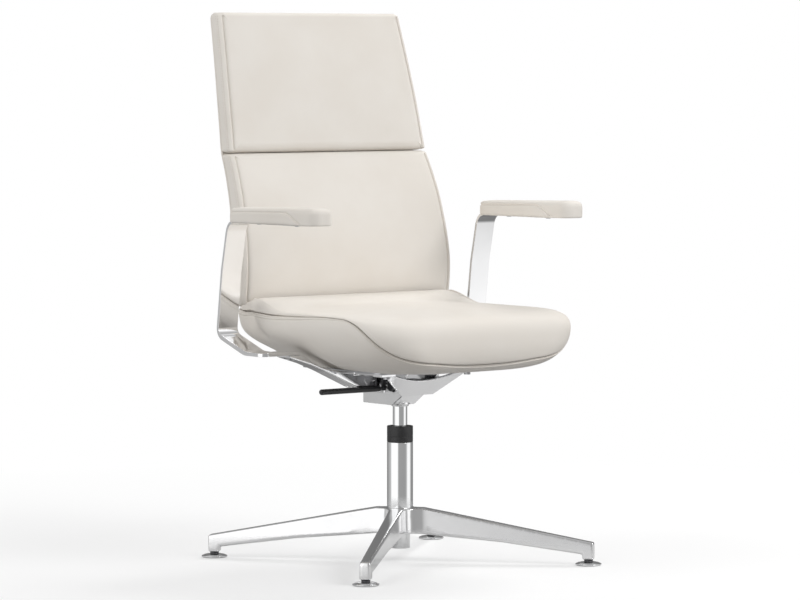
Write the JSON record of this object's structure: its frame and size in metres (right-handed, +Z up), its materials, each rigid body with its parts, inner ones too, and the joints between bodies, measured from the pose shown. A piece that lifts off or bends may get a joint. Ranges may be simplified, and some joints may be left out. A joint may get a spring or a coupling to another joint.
{
  "type": "swivel office chair",
  "caption": "High-backed leather swivel armchair on a polished star base with levelling feet, a gas column, a tilting seat carrier and flat-bar arms.",
  "frame": {"origin": "on the floor, at the centre of the whole chair's footprint box; the column's axis is 14.5 mm in front of it, at Y = -0.0145", "axes": "+Z up, -Y the way the sitter faces, +X the sitter's left"},
  "size_m": [0.66, 0.6214, 1.0555],
  "materials": {
    "cream_leather": "satin",
    "polished_aluminium": "polished",
    "chrome": "polished",
    "steel": "satin",
    "dark_steel": "satin",
    "black_plastic": "satin",
    "plywood": "matte"
  },
  "bodies": {
    "base": {"star_base": "polished_aluminium", "column_tube": "chrome", "column_lower_sleeve": "chrome", "column_collar": "black_plastic", "thrust_bearing": "steel"},
    "swivel_rod": {"gas_rod": "chrome", "gas_piston": "steel", "rod_clip": "dark_steel"},
    "lift": {"gas_cylinder": "chrome", "rod_guide": "black_plastic", "tilt_housing": "polished_aluminium", "housing_cover": "black_plastic", "tilt_axle": "steel", "axle_cap_left": "dark_steel", "axle_cap_right": "dark_steel", "tilt_spring": "steel", "lever_bracket": "dark_steel", "lever_pin": "steel"},
    "valve": {"valve_pin": "steel"},
    "lever": {"lever_stem": "dark_steel", "lever_grip": "black_plastic"},
    "seat": {"seat_carrier": "polished_aluminium", "axle_bush_left": "black_plastic", "axle_bush_right": "black_plastic", "seat_plate": "steel", "seat_shell": "cream_leather", "seat_cushion": "cream_leather", "back_cushion": "cream_leather", "head_cushion": "cream_leather", "back_core": "plywood", "back_rear_panel": "cream_leather", "back_bracket": "polished_aluminium", "bracket_bolt_front": "steel", "bracket_bolt_rear": "steel", "arm_bar_left": "polished_aluminium", "arm_pad_core_left": "black_plastic", "arm_pad_left": "cream_leather", "arm_screw_front_left": "steel", "arm_screw_rear_left": "steel", "arm_bolt_front_left": "dark_steel", "arm_bolt_rear_left": "dark_steel", "seat_bolt_front_left": "steel", "seat_bolt_rear_left": "steel", "arm_bar_right": "polished_aluminium", "arm_pad_core_right": "black_plastic", "arm_pad_right": "cream_leather", "arm_screw_front_right": "steel", "arm_screw_rear_right": "steel", "arm_bolt_front_right": "dark_steel", "arm_bolt_rear_right": "dark_steel", "seat_bolt_front_right": "steel", "seat_bolt_rear_right": "steel"},
    "foot_front_left": {"glide_foot_front_left": "chrome", "glide_stem_front_left": "dark_steel"},
    "foot_rear_left": {"glide_foot_rear_left": "chrome", "glide_stem_rear_left": "dark_steel"},
    "foot_rear_right": {"glide_foot_rear_right": "chrome", "glide_stem_rear_right": "dark_steel"},
    "foot_front_right": {"glide_foot_front_right": "chrome", "glide_stem_front_right": "dark_steel"}
  },
  "joints": [
    {"name": "seat_swivel", "type": "hinge", "parent": "base", "child": "swivel_rod", "pos_m": [0, -0.0145, 0.0413], "axis": [0, 0, 1], "continuous": true},
    {"name": "seat_height", "type": "slide", "parent": "swivel_rod", "child": "lift", "axis": [0, 0, 1], "range_m": [0, 0.085]},
    {"name": "seat_tilt", "type": "hinge", "parent": "lift", "child": "seat", "pos_m": [0, -0.0445, 0.34], "axis": [-1, 0, 0], "range_deg": [0, 10], "stiffness_Nm_per_rad": 150, "springref_deg": -17.19},
    {"name": "lever_lift", "type": "hinge", "parent": "lift", "child": "lever", "pos_m": [-0.029, -0.0255, 0.353], "axis": [0, 1, 0], "range_deg": [0, 7], "stiffness_Nm_per_rad": 1, "springref_deg": -17.19},
    {"name": "valve_press", "type": "slide", "parent": "lift", "child": "valve", "axis": [0, 0, -1], "range_m": [0, 0.004]},
    {"name": "foot_level_front_left", "type": "slide", "parent": "base", "child": "foot_front_left", "axis": [0, 0, -1], "range_m": [0, 0.008]},
    {"name": "foot_level_rear_left", "type": "slide", "parent": "base", "child": "foot_rear_left", "axis": [0, 0, -1], "range_m": [0, 0.008]},
    {"name": "foot_level_rear_right", "type": "slide", "parent": "base", "child": "foot_rear_right", "axis": [0, 0, -1], "range_m": [0, 0.008]},
    {"name": "foot_level_front_right", "type": "slide", "parent": "base", "child": "foot_front_right", "axis": [0, 0, -1], "range_m": [0, 0.008]}
  ],
  "couplings": [
    {"joint": "valve_press", "follows": "lever_lift", "m_per_rad": 0.0325}
  ]
}
